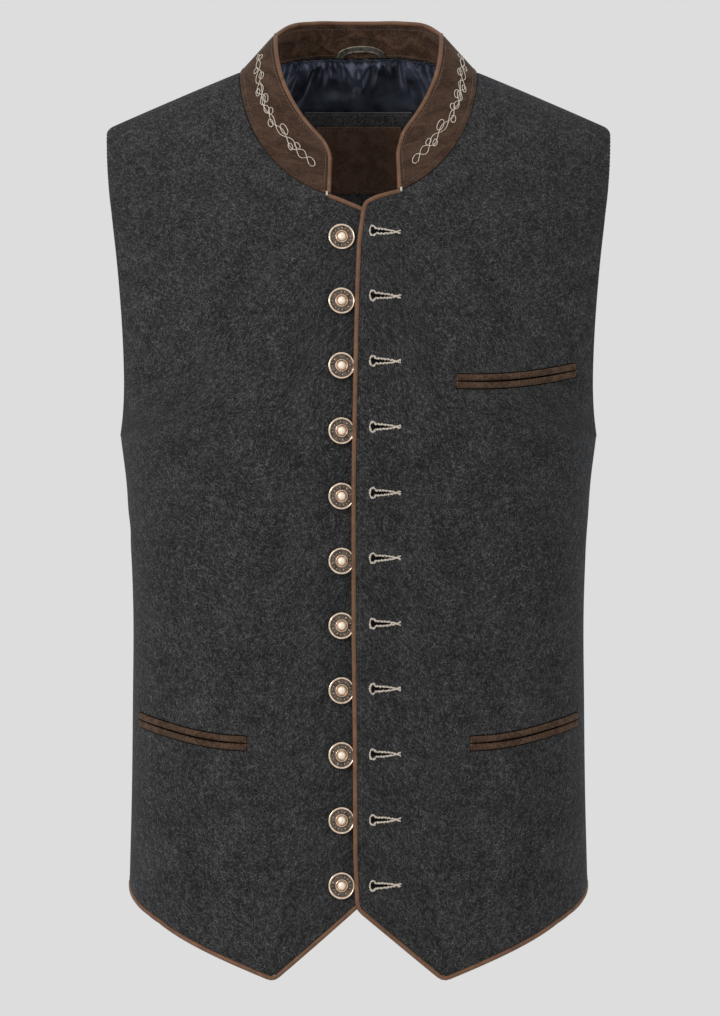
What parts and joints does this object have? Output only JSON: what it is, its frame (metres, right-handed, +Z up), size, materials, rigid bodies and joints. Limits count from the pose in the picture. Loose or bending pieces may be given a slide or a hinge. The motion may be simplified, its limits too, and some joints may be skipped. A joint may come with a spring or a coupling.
{
  "type": "embroidered folk vest",
  "caption": "Men's folk vest in charcoal felted wool with an embroidered suede stand collar, leather piping, welt pockets and metal shank buttons, filled out as worn.",
  "frame": {"origin": "midway between the two high shoulder points, where the wearer's shoulders carry the vest", "axes": "+Z up, -Y the way the wearer faces, +X to the wearer's left"},
  "size_m": [0.385, 0.2504, 0.7209],
  "materials": {
    "charcoal_wool": "felted wool, matt",
    "navy_satin": "satin lining, soft sheen",
    "brown_suede": "suede, matt",
    "piping_leather": "smooth leather piping, low sheen",
    "button_metal": "antique finish, dark in the recesses",
    "dark_metal": "blackened, worn"
  },
  "bodies": {
    "root": {"front_left": "charcoal_wool", "front_right": "charcoal_wool", "back": "charcoal_wool", "back_lining": "navy_satin", "collar_outer": "brown_suede", "collar_facing": "brown_suede", "piping_collar": "piping_leather", "piping_front_left": "piping_leather", "piping_front_right": "piping_leather", "chest_welt_upper": "brown_suede", "chest_welt_lower": "brown_suede", "hip_left_welt_upper": "brown_suede", "hip_left_welt_lower": "brown_suede", "hip_right_welt_upper": "brown_suede", "hip_right_welt_lower": "brown_suede", "neck_patch": "charcoal_wool", "neck_label": "brown_suede", "hanger_loop": "dark_metal", "button_01": "button_metal", "button_02": "button_metal", "button_03": "button_metal", "button_04": "button_metal", "button_05": "button_metal", "button_06": "button_metal", "button_07": "button_metal", "button_08": "button_metal", "button_09": "button_metal", "button_10": "button_metal", "button_11": "button_metal"}
  },
  "joints": []
}
